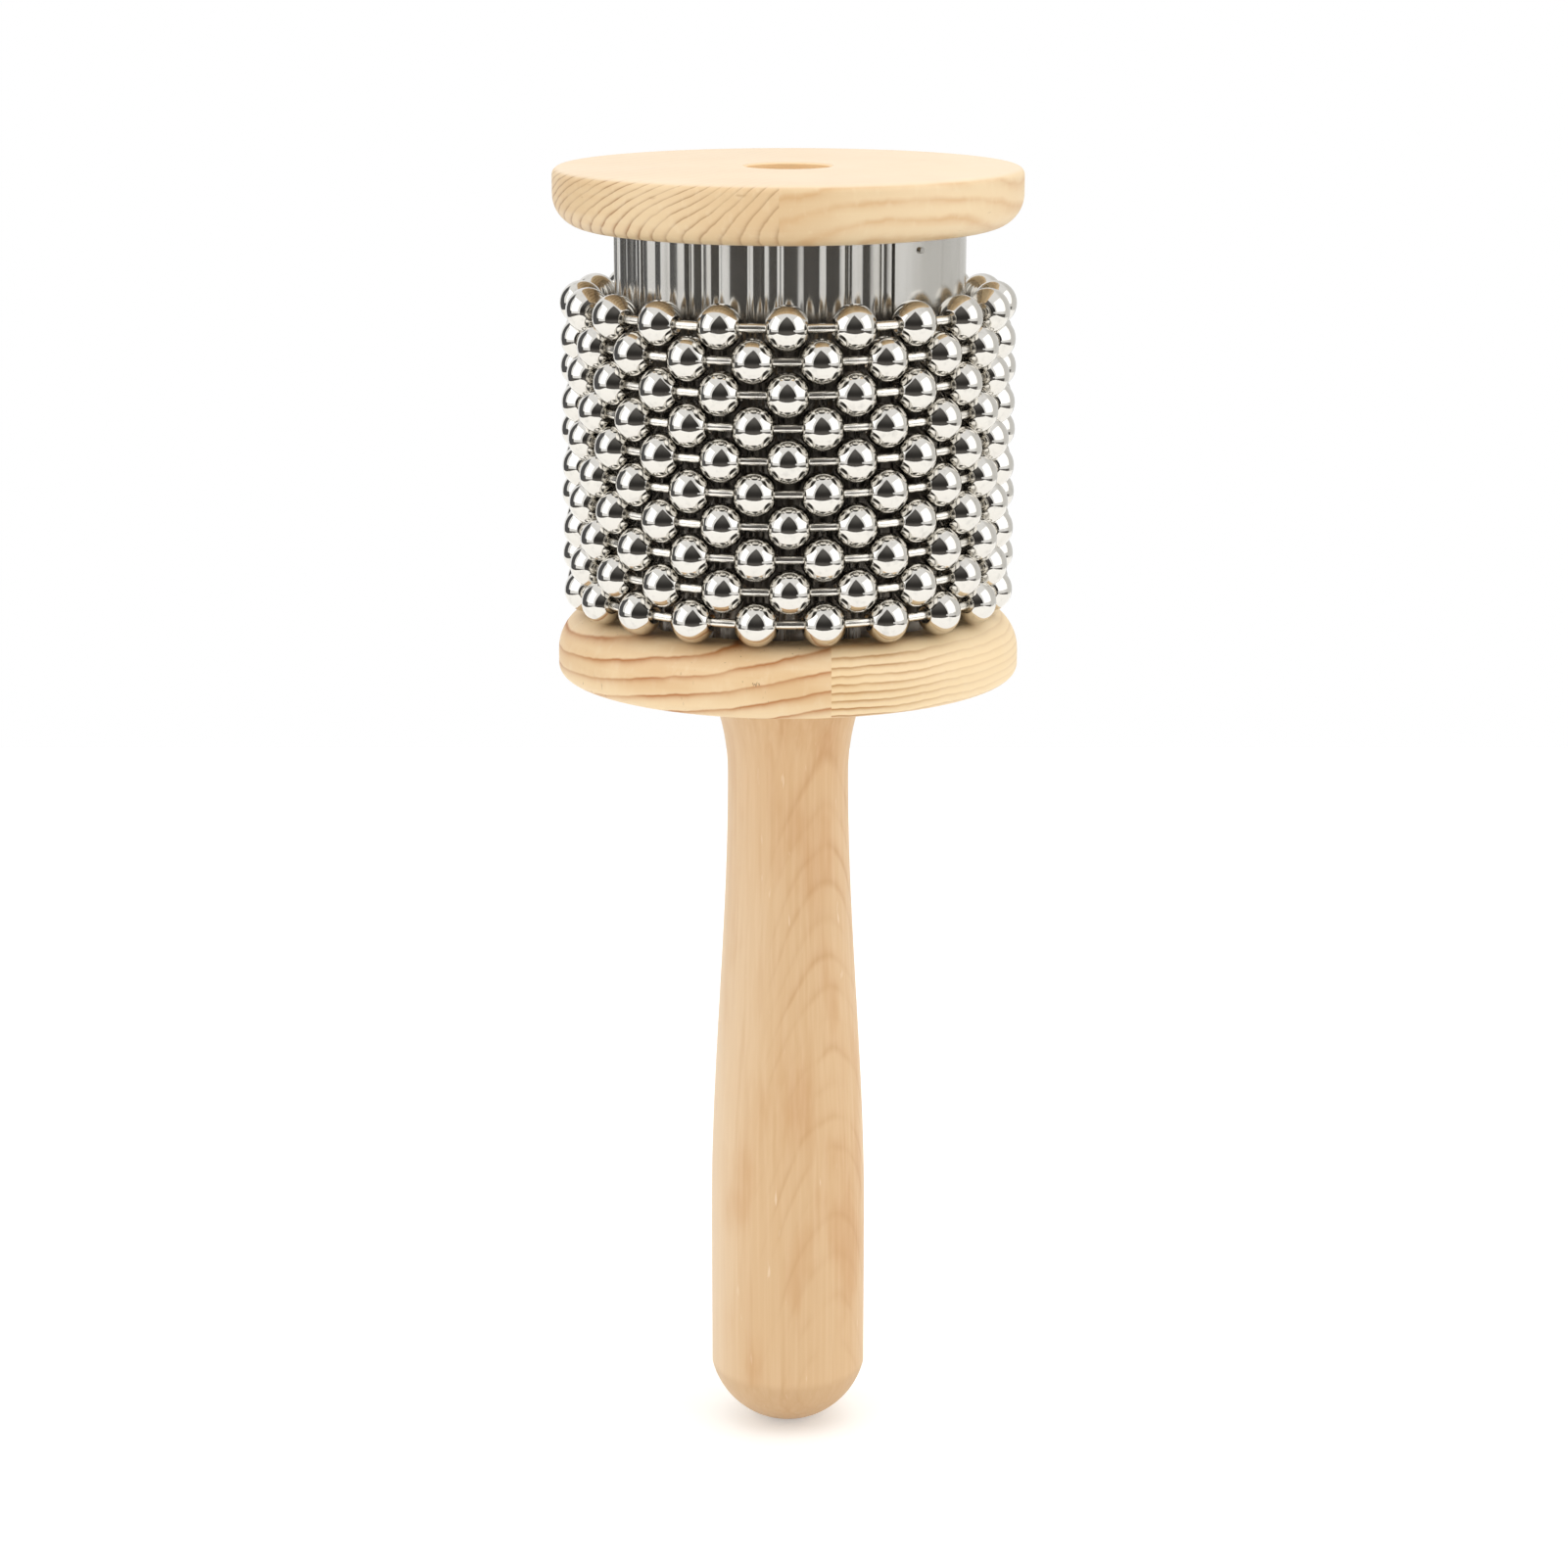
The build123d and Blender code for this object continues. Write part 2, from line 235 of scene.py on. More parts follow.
def late_wood(depth, spacing, sharpness, fall):
    """Growth rings: f = depth / spacing mod 1, to a power, which rises to 1 and then falls.

    The fall, to the next ring, takes its own share of the spacing.
    """
    share = (depth / spacing).math("FRACT")
    rise = (share / (1 - fall)).math("MINIMUM", 1) ** sharpness
    return rise * (1 - share.step(1 - fall, 1))


def handle_finish():
    """Close-grained wood whose rings lean from the axis, so they show as faint arches on one face.

    With a as the azimuth of that face, depth = x sin a - y cos a - lean z. The arches differ in
    strength from ring to ring, and fade away from the face. The heart of the wood is a darker
    column with blotches, which faces the front and is also painted shade from the dark room there;
    beside it the wood is plain and paler.
    """
    finish, where = new_finish("handle_wood")
    face = np.radians(ARCH_AZIMUTH)
    column = np.radians(HEART_AND_SHADE_AZIMUTH)
    dome_edge = -GRIP_END * MM
    wander = where.noise(70, (1, 1, 0.35))
    outward = where.axis(0) * np.sin(face) - where.axis(1) * np.cos(face)
    rings = (outward - where.axis(2) * ARCH_LEAN + wander * 0.0026) / ARCH_SPACING
    shares = (rings.math("FLOOR") * 0.618).math("FRACT").step(-0.3, 0.85)
    zone = outward.step(0.0045, 0.0095) * where.noise(160, (1, 1, 0.5)).step(0.3, 0.6)
    arches = late_wood(rings, 1, 4, 0.25) * shares * zone
    arches = arches * (where.axis(2).step(-0.01, 0.05) * 0.6 + 0.4)
    middle = where.axis(0) * np.sin(column) - where.axis(1) * np.cos(column) + (wander - 0.5) * 0.006
    fibres = where.noise(1500, (1, 1, 0.025), 3.0)
    streaks = where.noise(520, (1, 1, 0.05), 3.0).step(0.52, 0.72)
    blotches = where.noise(150, (1, 1, 0.3), 3.0).step(0.48, 0.7)
    flecks = where.noise(900, (1, 1, 0.2)).step(0.69, 0.77)
    # Painted shade: the dome below the grip's foot is mixed darker, for the shade on its downward face.
    dome_shade = 1 - where.axis(2).step(dome_edge - DOME_SHADE_BLUR, dome_edge + DOME_SHADE_BLUR)
    # Painted shade: the column facing the front is darker, both for the wood's heart and for the shade
    # of the dark room in front.
    heart_and_shade = middle.step(-0.002, 0.0105)
    colour = heart_and_shade.mix(paint(233, 207, 174), paint(219, 183, 139))
    colour = (blotches * (heart_and_shade * 0.5 + 0.06)).mix(colour, paint(203, 154, 104))
    colour = (streaks * (heart_and_shade * 0.22 + 0.06)).mix(colour, paint(200, 152, 103))
    colour = (arches * 0.46).mix(colour, paint(190, 138, 88))
    colour = (fibres.step(0.4, 0.72) * 0.13).mix(colour, paint(246, 222, 188))
    colour = (flecks * heart_and_shade * 0.55).mix(colour, paint(241, 218, 189))
    colour = (dome_shade * 0.32).mix(colour, paint(196, 158, 116))
    feed(finish, {
        "Base Color": colour,
        "Roughness": 0.66 - fibres * 0.2,
        "Normal": (fibres + arches * 0.3).bump(0.00003, 0.5),
    })
    return finish


handle = turned("handle_turned", handle_profile(), HANDLE_SIDES)
handle.data.materials.append(handle_finish())
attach(handle, "handle_and_drum")
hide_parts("handle")


# Lower disc: two pale boards glued edge to edge, cut round, with a well rounded upper edge.
# It sits on the handle's shoulder, and the tenon passes through its hole.

DISC_R = 35.0
LOWER_DISC_TOP = 111.1
LOWER_DISC_UPPER_ROUND = 6.2
LOWER_DISC_LOWER_ROUND = 1.5
TENON_HOLE_R = 7.05
DISC_SIDES = 160
ROUND_POINTS = 14
JOINT_BLUR = 0.0001
LOWER_JOINT = 0.0062
LOWER_LEFT_SLOPE = 0.185
LOWER_LEFT_STEP = 0.0026
LOWER_RIGHT_STEP = 0.00115


def disc_profile(bottom, top, lower_round, upper_round, hole):
    """Outline of a round board: quarter circles at the rim's two edges, and the hole's own points."""
    under = arc((DISC_R - lower_round, bottom + lower_round), lower_round, -90, 0, ROUND_POINTS)
    over = arc((DISC_R - upper_round, top - upper_round), upper_round, 0, 90, ROUND_POINTS)
    return np.concatenate([hole[:1], under, over, hole[1:]])


def lower_disc_finish():
    """Left board with strong rings that rise to the right, right board with fine level rings that fade.

    The left rings are levels of z - slope x, and the right ones of z, both with some wander.
    """
    finish, where = new_finish("lower_disc_wood")
    across = where.axis(0)
    up = where.axis(2) - SHOULDER_Z * MM
    wander = where.noise(75, (1, 0.4, 1)) - 0.5
    ripple = where.noise(420, (1, 0.4, 0.5)) - 0.5
    right = across.step(LOWER_JOINT - JOINT_BLUR, LOWER_JOINT + JOINT_BLUR)
    left_depth = up - across * LOWER_LEFT_SLOPE + wander * 0.0016 + ripple * 0.0005 + 0.0017
    left_rings = late_wood(left_depth, LOWER_LEFT_STEP, 5.0, 0.12)
    right_depth = up + wander * 0.001 + ripple * 0.0004 + 0.0005
    right_rings = late_wood(right_depth, LOWER_RIGHT_STEP, 3.0, 0.2)
    right_fade = 1 - across.step(0.008, 0.028) * 0.8
    weak = where.noise(110, (0.6, 0.3, 1.8)).step(0.3, 0.6) * 0.55 + 0.45
    rings = (left_rings * (1 - right) + right_rings * right * right_fade) * weak
    fibres = where.noise(900, (0.08, 0.08, 1), 3.0)
    mottle = where.noise(700, (1, 1, 0.5), 3.0).step(0.5, 0.75)
    ticks = where.noise(1700, (1, 1, 0.3)).step(0.68, 0.74)
    ticks = ticks * where.noise(55).step(0.54, 0.62) * (1 - right)
    left_board = across.step(-0.03, 0).mix(paint(230, 194, 147), paint(225, 188, 140))
    right_board = across.step(0.006, 0.03).mix(paint(235, 203, 152), paint(244, 218, 174))
    colour = right.mix(left_board, right_board)
    # Painted light: the lowest 4 mm of the disc, round its underside, is mixed paler, for light thrown
    # up from the table.
    colour = ((1 - up.step(0, 0.004)) * 0.6).mix(colour, paint(255, 232, 192))
    colour = (where.noise(60).step(0.35, 0.65) * 0.5).mix(colour, paint(245, 219, 178))
    colour = (mottle * 0.22).mix(colour, paint(246, 226, 192))
    colour = (fibres.step(0.4, 0.7) * 0.18).mix(colour, paint(246, 224, 184))
    late = right.mix(paint(180, 114, 58), paint(176, 120, 58))
    colour = rings.mix(colour, late)
    colour = (ticks * 0.6).mix(colour, paint(120, 84, 54))
    feed(finish, {
        "Base Color": colour,
        "Roughness": 0.6 - fibres * 0.2,
        "Normal": (fibres + rings * 0.4).bump(0.00003, 0.5),
    })
    return finish


lower_hole = np.array([[TENON_HOLE_R, SHOULDER_Z], [TENON_HOLE_R, LOWER_DISC_TOP]])
lower_disc = turned("lower_disc_boards", disc_profile(
    SHOULDER_Z, LOWER_DISC_TOP, LOWER_DISC_LOWER_ROUND, LOWER_DISC_UPPER_ROUND, lower_hole), DISC_SIDES)
lower_disc.data.materials.append(lower_disc_finish())
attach(lower_disc, "handle_and_drum")
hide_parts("lower_disc")


# Core: a turned block of plain wood that carries the sleeve and holds the discs apart.
# Only the wall of its bore shows, down the hole in the upper disc.


def core_finish():
    """Warm, unfinished wood with upright fibres and wide rings about an axis outside the block."""
    finish, where = new_finish("core_wood")
    centre = where.node("Mapping", {}, {
        "Vector": where, "Location": (0.012, 0.03, 0), "Scale": (1, 1, 0.02)})
    distance = centre.node("VectorMath", {"operation": "LENGTH"}, {0: centre}, 1)
    rings = late_wood(distance + where.noise(60) * 0.002, 0.003, 3.0, 0.2)
    fibres = where.noise(1200, (1, 1, 0.04), 3.0)
    colour = (rings * 0.6).mix(paint(244, 198, 140), paint(212, 150, 92))
    colour = (fibres.step(0.4, 0.7) * 0.3).mix(colour, paint(250, 216, 164))
    feed(finish, {"Base Color": colour, "Roughness": 0.75 - fibres * 0.15,
                  "Normal": fibres.bump(0.00005, 0.5)})
    return finish


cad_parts["core"].data.materials.clear()
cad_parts["core"].data.materials.append(core_finish())


# Scraper sleeve: thin bright steel sheet, pressed into upright flutes and wrapped round the core.
# Its outer end is a plain margin that laps over the inner end and is pinned by the brads.

SLEEVE_R = 26.0
DRUM_BOTTOM = LOWER_DISC_TOP
DRUM_TOP = 168.7368
FLUTES = 54
FLUTE_PITCH = 360 / FLUTES
FLUTE_DEPTH = 0.45
CREST_SHARE = 0.8
SHEET_T = 0.4
LAP_RISE = 0.5
SEAM = 35.2
MARGIN_FLUTES = 9
LAP_FLUTES = 4
RAMP_FLUTES = 2
MARGIN_POINTS = 40
FLUTE_POINTS = 20
FLUTE_UNEVEN = 0.12
FLUTE_LEAN = 0.16
WEAR_AND_SHADE_TOP = 0.1588
WEAR_AND_SHADE_BLUR = 0.0015


def sleeve_strip():
    """A ribbon of sheet: radius = R + lift - drop on the outside, a sheet's thickness less inside.

    With t as the distance from a crest in pitches, the crest's drop grows as t squared, and the
    valley's mirrors it about the joint, so both slopes agree there. The drop is up to a quarter
    less on some flutes, and each flute leans a little to one side, as pressed sheet does. The lift
    is that of the lap, whole along the margin and then falling to nothing over the ramp.
    """
    flutes = FLUTES - MARGIN_FLUTES + LAP_FLUTES
    half_crest = CREST_SHARE / 2
    margin = np.linspace(-MARGIN_FLUTES, 0, MARGIN_POINTS, endpoint=False)
    last_points = round(FLUTE_POINTS * half_crest) + 1
    fluted = np.linspace(0, flutes + half_crest, flutes * FLUTE_POINTS + last_points)
    turns = np.concatenate([margin, fluted])
    t = np.abs(turns - np.round(turns))
    crest = CREST_SHARE * FLUTE_DEPTH * (t / half_crest)**2
    valley = FLUTE_DEPTH - (1 - CREST_SHARE) * FLUTE_DEPTH * ((0.5 - t) / (0.5 - half_crest))**2
    shallow = 1 - FLUTE_UNEVEN * (1 + np.sin(2.3 * turns + 1.1 * np.sin(0.9 * turns)))
    drop = shallow * np.where(turns <= 0, 0, np.where(t < half_crest, crest, valley))
    lift = LAP_RISE * np.clip(1 - turns / RAMP_FLUTES, 0, 1)
    fade = np.clip(turns, 0, 1)
    shift = FLUTE_LEAN * fade * (np.sin(1.7 * turns) + 0.6 * np.sin(3.9 * turns))
    angle = np.radians(SEAM + (turns + shift + MARGIN_FLUTES) * FLUTE_PITCH)
    outer = SLEEVE_R + lift - drop
    radius = np.concatenate([outer, (outer - SHEET_T)[::-1]])
    turn = np.concatenate([angle, angle[::-1]])
    height = np.array([DRUM_BOTTOM, DRUM_TOP])[:, None]
    grid = np.stack([radius * np.sin(turn) + 0 * height, -radius * np.cos(turn) + 0 * height,
                     height + 0 * radius], axis=2)
    count = len(turns)
    faces = grid_faces(2, 2 * count, False, True).tolist()
    j = np.arange(count - 1)
    across = 2 * count - 1 - j
    faces += np.stack([j, across, across - 1, j + 1], axis=1).tolist()
    faces += (np.stack([j + 1, across - 1, across, j], axis=1) + 2 * count).tolist()
    return add_mesh("scraper_sleeve_sheet", grid.reshape(-1, 3), faces)


def sleeve_finish():
    """Rolled steel: bright, with fine upright streaks from the press, and duller where the chain rubs,
    where it is also darkened with painted shade from the chain.
    """
    finish, where = new_finish("sleeve_steel")
    streaks = where.noise(2200, (1, 1, 0.012), 3.0)
    lines = where.noise(700, (1, 1, 0.02), 2.0).step(0.5, 0.75)
    stains = where.noise(120, (1, 1, 0.3), 3.0).step(0.4, 0.75)
    wear_and_shade_height = where.axis(2) + stains * 0.001
    wear_and_shade = 1 - wear_and_shade_height.step(WEAR_AND_SHADE_TOP - WEAR_AND_SHADE_BLUR, WEAR_AND_SHADE_TOP + WEAR_AND_SHADE_BLUR)
    colour = stains.mix(paint(200, 198, 193), paint(180, 176, 168))
    colour = (lines * 0.16).mix(colour, paint(150, 144, 136))
    # Painted shade: below the height of the chain's top row the sheet is mixed dark brown, for the
    # shade behind the chain.
    colour = (wear_and_shade * 0.65).mix(colour, paint(96, 86, 76))
    feed(finish, {
        "Base Color": colour,
        "Metallic": 0.94,
        "Roughness": 0.12 + streaks * 0.08 + stains * 0.06 + wear_and_shade * 0.1,
        "Normal": streaks.bump(0.00001, 0.3),
    })
    return finish


sleeve = sleeve_strip()
sleeve.data.materials.append(sleeve_finish())
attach(sleeve, "handle_and_drum")
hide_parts("scraper_sleeve")


# Brads: three small nails of drawn wire with flat heads, driven through the sleeve's margin
# into the core. Only the heads show.


def brad_finish():
    """Drawn wire, duller than the sheet, with hammer marks on the heads."""
    finish, where = new_finish("brad_steel")
    marks = where.noise(2500, (1, 1, 1), 3.0)
    colour = marks.mix(paint(138, 135, 130), paint(190, 187, 182))
    feed(finish, {"Base Color": colour, "Metallic": 1.0, "Roughness": 0.3 + marks * 0.2,
                  "Normal": marks.bump(0.00003, 0.6)})
    return finish


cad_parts["sleeve_brads"].data.materials.clear()
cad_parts["sleeve_brads"].data.materials.append(brad_finish())


# Washer and screw: zinc-plated steel, down the bore on the web of the core.
# The screw goes into the end of the tenon and holds the handle in its socket.


def zinc_finish(name, scratches):
    """Zinc plate, a little blue, with turning marks or scratches of its own size."""
    finish, where = new_finish(name)
    marks = where.noise(scratches, (1, 1, 3), 4.0)
    colour = marks.mix(paint(168, 170, 174), paint(206, 208, 212))
    feed(finish, {"Base Color": colour, "Metallic": 1.0, "Roughness": 0.28 + marks * 0.2,
                  "Normal": marks.bump(0.00002, 0.4)})
    return finish


for fitting, scratches in (("screw_washer", 900), ("handle_screw", 1600)):
    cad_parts[fitting].data.materials.clear()
    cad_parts[fitting].data.materials.append(zinc_finish(fitting + "_zinc", scratches))


# Upper disc: two boards as below, thinner, glued on the core, with a hole down to the screw.
# Its upper edge is only eased and its lower edge is well rounded.

UPPER_DISC_TOP = 177.5368
UPPER_DISC_UPPER_ROUND = 1.2
UPPER_DISC_LOWER_ROUND = 4.9
BORE_R = 6.5
BORE_CHAMFER = 0.3
UPPER_JOINT = -0.0013
UPPER_GRAIN_TURN = -32
UPPER_LEFT_STEP = 0.00265
UPPER_ARCH_X = 0.0168
UPPER_ARCH_SPREAD = 3.3
UPPER_RIGHT_STEP = 0.0026


def upper_disc_finish():
    """Left board with steep rings that lean over as they climb, right board with a low soft arch.

    With up measured from the disc's underside and g along the left grain's direction, the left
    rings are levels of g - (0.8 up + 110 up^2), and lean less near the joint. The right ones are
    wide ellipses about a centre below the rim. The top face, painted pale as a painted sheen from
    the light above, hardly shows either.
    """
    finish, where = new_finish("upper_disc_wood")
    across = where.axis(0)
    up = where.axis(2) - DRUM_TOP * MM
    turn = np.radians(UPPER_GRAIN_TURN)
    thickness = (UPPER_DISC_TOP - DRUM_TOP) * MM
    wander = where.noise(100, (1, 0.4, 1)) - 0.5
    ripple = where.noise(500, (1, 0.6, 0.7)) - 0.5
    right = across.step(UPPER_JOINT - JOINT_BLUR, UPPER_JOINT + JOINT_BLUR)
    lean = (across * -1).step(0, 0.014) * 0.5 + 0.5
    climb = (up * 0.8 + up * up * 110) * lean
    left_depth = across * np.cos(turn) + where.axis(1) * np.sin(turn) - climb
    left_depth = left_depth + wander * 0.0022 + ripple * 0.0007
    left_rings = late_wood(left_depth, UPPER_LEFT_STEP, 6.0, 0.12)
    wide = (across - UPPER_ARCH_X) / UPPER_ARCH_SPREAD
    high = up + 0.0011
    right_depth = (wide * wide + high * high).math("SQRT")
    right_depth = right_depth + wander * 0.0026 + ripple * 0.0006 - 0.0002
    right_rings = late_wood(right_depth, UPPER_RIGHT_STEP, 2.5, 0.35)
    # Painted sheen: the top face is mixed pale and its rings fade, for the sheen of the light above.
    top_sheen = up.step(thickness - 0.0005, thickness - 0.0001)
    weak = where.noise(170, (0.8, 0.4, 1.2)).step(0.3, 0.6) * 0.65 + 0.35
    left_strength = (across * -1).step(0.006, 0.024) * 0.35 + 0.5
    rings = left_rings * (1 - right) * left_strength + right_rings * right * 0.45
    rings = rings * weak * (1 - top_sheen * 0.6)
    fibres = where.noise(900, (0.08, 0.08, 1), 3.0)
    mottle = where.noise(800, (1, 1, 0.6), 3.0).step(0.5, 0.75)
    flecks = where.noise(900, (0.25, 0.25, 1)).step(0.7, 0.77)
    colour = across.step(-0.002, 0.022).mix(paint(231, 199, 154), paint(243, 216, 175))
    colour = (where.noise(60).step(0.35, 0.65) * 0.5).mix(colour, paint(244, 219, 178))
    late = right.mix(paint(158, 102, 52), paint(208, 152, 88))
    colour = rings.mix(colour, late)
    colour = (mottle * 0.2).mix(colour, paint(248, 228, 192))
    colour = (fibres.step(0.4, 0.7) * 0.16).mix(colour, paint(244, 224, 186))
    colour = (flecks * 0.3).mix(colour, paint(170, 118, 72))
    # Painted sheen on the top face, as pale cream.
    colour = (top_sheen * 0.65).mix(colour, paint(243, 223, 197))
    reach = (across * across + where.axis(1) * where.axis(1)).math("SQRT")
    bored = 1 - reach.step(BORE_R * MM, (BORE_R + BORE_CHAMFER) * MM)
    colour = (bored * 0.85).mix(colour, paint(255, 222, 172))
    feed(finish, {
        "Base Color": colour,
        "Roughness": 0.58 - fibres * 0.2,
        "Normal": (fibres + rings * 0.4).bump(0.00003, 0.5),
    })
    return finish


upper_hole = np.array([
    [BORE_R, DRUM_TOP], [BORE_R + BORE_CHAMFER, UPPER_DISC_TOP],
    [BORE_R, UPPER_DISC_TOP - BORE_CHAMFER]])
upper_disc = turned("upper_disc_boards", disc_profile(
    DRUM_TOP, UPPER_DISC_TOP, UPPER_DISC_LOWER_ROUND, UPPER_DISC_UPPER_ROUND, upper_hole), DISC_SIDES)
upper_disc.data.materials.append(upper_disc_finish())
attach(upper_disc, "handle_and_drum")
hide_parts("upper_disc")


# Ball chain: ten closed loops of nickel-plated steel, each of hollow pressed beads on short rods.
# A rod's heads sit inside two beads. The rows nest, each half a pitch round from the one below.

LOOPS = 10
BEADS = 20
BEAD_R = 3.325
BEAD_END = 3.004
HOLE_R = 0.825
HOLE_LIP_R = 1.1
HOLE_DEPTH = 0.35
BEAD_SIDES = 8
SEAT_GAP = 0.15
RING_R = 30.875
LINK_R = 30.937
FIRST_ROW_Z = DRUM_BOTTOM + SEAT_GAP + BEAD_R
ROW_STEP = 4.743
ROD_R = 0.675
ROD_HEAD_R = 0.975
ROD_HEAD_X = 3.058
ROD_NECK_X = 2.354
ROD_END_X = 4.033
ROD_TIP_R = 0.25
LINK_SIDES = 6
TOP_ROW_TURN = -0.4
TURN_PER_ROW = 0.1
SUBDIVISIONS = 2


def cage(targets, around):
    """Cage points (x, r) whose subdivided surface passes through the targets.

    Along the profile (a + 4 b + c) / 6 is the target, with the ends held, and round the axis a
    ring of n cage points comes to (4 + 2 cos(2 pi / n)) / 6 of its radius.
    """
    count = len(targets)
    weights = (4 * np.eye(count) + np.eye(count, k=1) + np.eye(count, k=-1)) / 6
    weights[[0, -1]] = np.eye(count)[[0, -1]]
    points = np.linalg.solve(weights, targets)
    points[:, 1] /= (4 + 2 * np.cos(2 * np.pi / around)) / 6
    return points


def bead_profile():
    """A ball with a dimple round the hole at each end: (R cos p, R sin p) at every 30 degrees."""
    p = np.radians([150, 120, 90, 60, 30])
    ball = np.stack([BEAD_R * np.cos(p), BEAD_R * np.sin(p)], axis=1)
    end = np.array([[-BEAD_END + HOLE_DEPTH, HOLE_R], [-BEAD_END, HOLE_LIP_R]])
    return np.concatenate([end, ball, end[::-1] * (-1, 1)])


def link_profile():
    """A rod with a round head at each end."""
    half = np.array([[ROD_END_X, ROD_TIP_R], [ROD_HEAD_X, ROD_HEAD_R], [ROD_NECK_X, ROD_R]])
    return np.concatenate([half * (-1, 1), [[0, ROD_R]], half[::-1]])


def round_the_drum(name, profile, around, radius, row, half_steps):
    """Twenty copies of a small turned shape along a loop, as cages that subdivision finishes.

    Point (k, i, j) is c_k + x_i t_k + r_i (cos b_j u_k + sin b_j z), with c_k on the loop, t_k
    along it, u_k outwards, and b_j = 2 pi (j + 1/2) / around.
    """
    x, r = cage(profile, around).T
    rows_below_top = LOOPS - row
    turn = np.radians(TOP_ROW_TURN + TURN_PER_ROW * rows_below_top)
    k = np.arange(BEADS)
    angle = turn + (2 * k + rows_below_top + half_steps) * np.pi / BEADS
    flat = np.zeros(BEADS)
    outward = np.stack([np.sin(angle), -np.cos(angle), flat], axis=1)[:, None, None]
    along = np.stack([np.cos(angle), np.sin(angle), flat], axis=1)[:, None, None]
    up = np.array([0, 0, 1])
    b = (np.arange(around) + 0.5) * 2 * np.pi / around
    spoke = np.cos(b)[:, None] * outward + np.sin(b)[:, None] * up
    centre = radius * outward + up * (FIRST_ROW_Z + (row - 1) * ROW_STEP)
    points = centre + x[:, None, None] * along + r[:, None, None] * spoke
    size = len(x) * around
    one = grid_faces(len(x), around, False, True)
    faces = (one + (k * size)[:, None, None]).reshape(-1, 4).tolist()
    start = np.arange(around)[::-1]
    stop = np.arange(around) + size - around
    faces += (start + (k * size)[:, None]).tolist()
    faces += (stop + (k * size)[:, None]).tolist()
    piece = add_mesh(name, points.reshape(-1, 3), faces, 180)
    finish = piece.modifiers.new("rounding", "SUBSURF")
    finish.levels = SUBDIVISIONS
    finish.render_levels = SUBDIVISIONS
    return piece


def nickel_finish(name, colour, roughness):
    """Bright nickel over pressed steel: slightly uneven, with soft wear and a few dull spots."""
    finish, where = new_finish(name)
    dents = where.noise(330, (1, 1, 1), 1.0)
    wear = where.noise(900, (1, 1, 1), 4.0).step(0.5, 0.8)
    feed(finish, {
        "Base Color": wear.mix(paint(*colour), paint(*(0.93 * np.array(colour)))),
        "Metallic": 1.0,
        "Roughness": roughness + wear * 0.08,
        "Normal": dents.bump(0.0001, 0.5),
    })
    return finish


# Painted light: the links' nickel is a lighter copy of the beads', so that the thin rods read brighter.
bead_nickel = nickel_finish("bead_nickel", (218, 215, 209), 0.05)
link_nickel = nickel_finish("link_nickel", (238, 234, 226), 0.24)
for row in range(1, LOOPS + 1):
    body = f"chain_loop_{row:02d}"
    beads = round_the_drum(f"beads_loop_{row:02d}", bead_profile(), BEAD_SIDES, RING_R, row, 0)
    beads.data.materials.append(bead_nickel)
    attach(beads, body)
    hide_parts(f"chain_{row:02d}_beads")
    links = round_the_drum(f"links_loop_{row:02d}", link_profile(), LINK_SIDES, LINK_R, row, 1)
    links.data.materials.append(link_nickel)
    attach(links, body)
    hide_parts(f"chain_{row:02d}_links")


# Studio: a white table with the object upright on it, a white panel on each side and one overhead.
# The room in front, where the camera stands, is dark and narrows upwards, with a low white strip
# at its right. The gap behind the left panel is dark too.

TABLE_FRONT = -370.0
TABLE_BACK = 450.0
TABLE_SIDE = 430.0
CAMERA_PLACE = (-0.000619, -0.535943, 0.220360)
CAMERA_PITCH = 14.378
LENS = 82.145
SENSOR = 36
TABLE_GLOW = (0.3, 0.3, 0.3, 1.0)
PANEL_TARGET = (0, 0, 0.09)
PANEL_SIZE = 1.0
FILL_SIZE = 1.2


def light_path(wire):
    """1 for what the camera sees directly, in a mirror or through glass."""
    seen = wire.node("LightPath", {}, {})
    glossy = wire.node("LightPath", {}, {}, 3)
    through = wire.node("LightPath", {}, {}, 6)
    return seen.math("MAXIMUM", glossy).math("MAXIMUM", through)


def table_finish():
    """Matt white, with a little light of its own where it is seen, so that it reads as white."""
    finish, where = new_finish("table_white")
    feed(finish, {
        "Base Color": paint(236, 235, 232),
        "Roughness": 0.9,
        "Emission Color": light_path(where).mix(paint(0, 0, 0), TABLE_GLOW),
        "Emission Strength": 1.0,
    })
    return finish


corners = np.array([
    [-TABLE_SIDE, TABLE_FRONT, DOME_TIP], [TABLE_SIDE, TABLE_FRONT, DOME_TIP],
    [TABLE_SIDE, TABLE_BACK, DOME_TIP], [-TABLE_SIDE, TABLE_BACK, DOME_TIP]])
table = add_mesh("white_table", corners, [[0, 1, 2, 3]])
table.data.materials.append(table_finish())

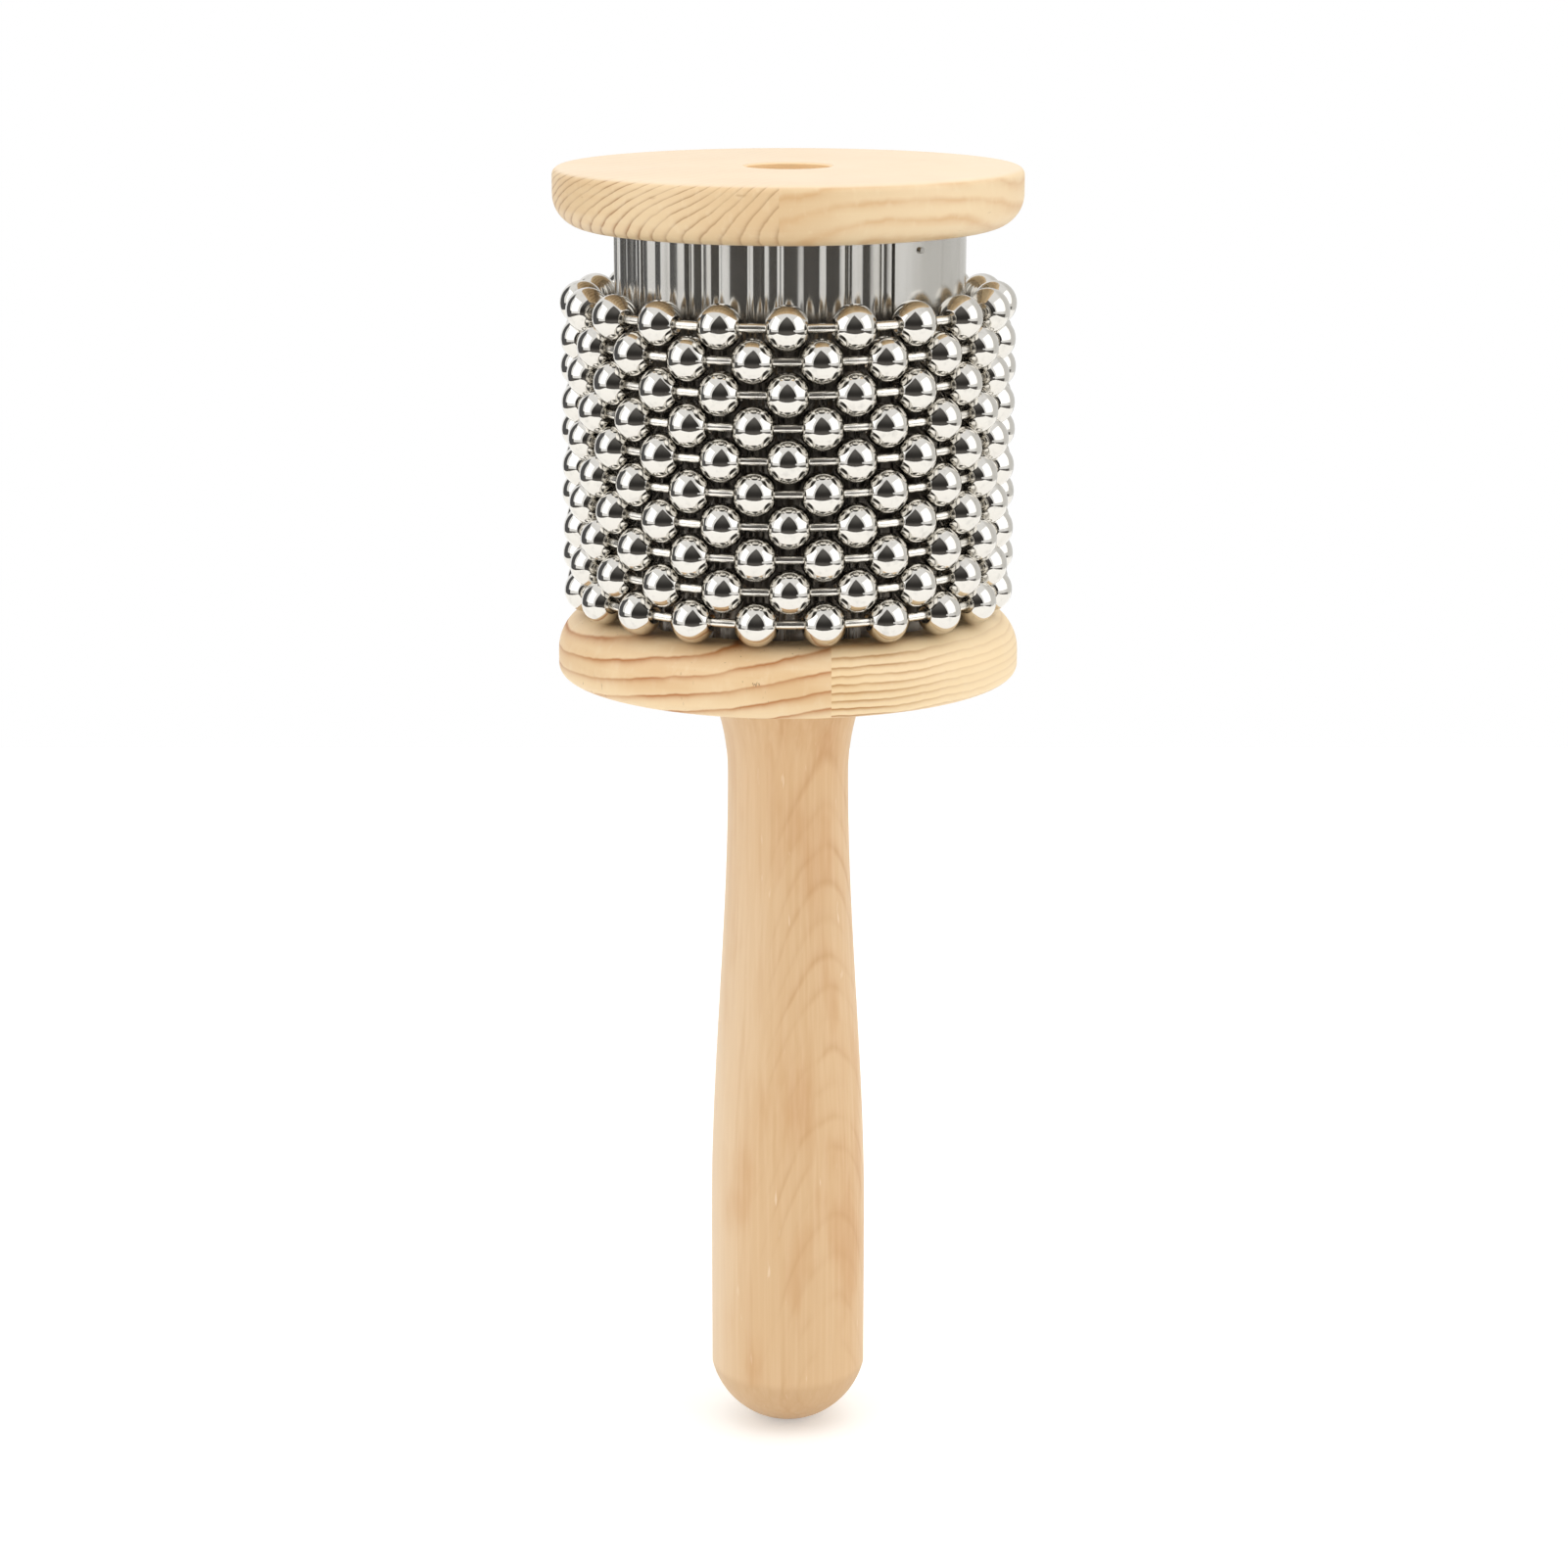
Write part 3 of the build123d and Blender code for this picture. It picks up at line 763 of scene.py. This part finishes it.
scene = bpy.context.scene
scene.view_settings.view_transform = "Standard"
scene.world = bpy.data.worlds.new("studio")
scene.world.use_nodes = True
tree = scene.world.node_tree
sky = Wire(tree, tree.nodes.new("ShaderNodeTexCoord").outputs["Generated"])
side = sky.axis(0)
far = sky.axis(1)
high = sky.axis(2)
aside = side.math("ABSOLUTE")
ahead = far * -1
taper = high.step(-0.1, 0.95) * 0.35
front = (ahead * 1.15 - aside - taper - 0.13).step(-0.02, 0.02) * ahead.step(0.36, 0.44)
strip = high.step(-0.18, -0.16) * (1 - high.step(-0.07, -0.05)) * side.step(0.54, 0.58)
front = front * (1 - strip)
gap = (side * -1 - far * 0.84).step(0, 0.05) * (far - side * 0.07).step(0, 0.05)
gap = gap * (1 - high.step(0.6, 0.7))
skirt = (1 - high.step(-0.23, -0.21)) * (ahead + aside * 0.2).step(-0.1, 0.1)
dark = front.math("MAXIMUM", skirt)
seen = sky.node("LightPath", {}, {})
grey = (side * 0.7 + far * 0.7).step(0.5, 0.8).mix(paint(255, 255, 255), paint(228, 227, 224))
light = gap.mix(grey, paint(92, 92, 93))
low_dark = high.step(-0.25, 0).mix(paint(98, 95, 92), paint(56, 54, 52))
light = dark.mix(light, high.step(0.1, 0.9).mix(low_dark, paint(112, 110, 108)))
light = seen.mix(light, paint(255, 255, 255))
backdrop = tree.nodes["Background"]
tree.links.new(light.socket, backdrop.inputs["Color"])


def panel(name, place, size, radiance):
    """A soft white panel: a square area lamp at a place, in metres, that faces the object."""
    lamp = bpy.data.lights.new(name, "AREA")
    lamp.shape = "SQUARE"
    lamp.size = size
    lamp.energy = radiance * np.pi * size * size
    lit = bpy.data.objects.new(name, lamp)
    lit.location = place
    lit.rotation_euler = (Vector(PANEL_TARGET) - Vector(place)).to_track_quat("-Z", "Y").to_euler()
    lit.visible_camera = False
    scene.collection.objects.link(lit)
    return lit


panel("left_panel", (-0.95, -0.25, 0.55), PANEL_SIZE, 0.95)
panel("right_panel", (0.95, -0.3, 0.55), PANEL_SIZE, 0.8)
fill = panel("front_fill", (-0.1, -1.2, 0.14), FILL_SIZE, 1.26)
fill.visible_glossy = False
overhead = panel("overhead_fill", (0.1, -0.1, 1.3), FILL_SIZE, 0.86)
overhead.visible_glossy = False

camera = bpy.data.objects.new("camera", bpy.data.cameras.new("camera"))
camera.data.lens = LENS
camera.data.sensor_width = SENSOR
camera.location = CAMERA_PLACE
camera.rotation_euler = (np.radians(90 - CAMERA_PITCH), 0, 0)
scene.collection.objects.link(camera)
scene.camera = camera
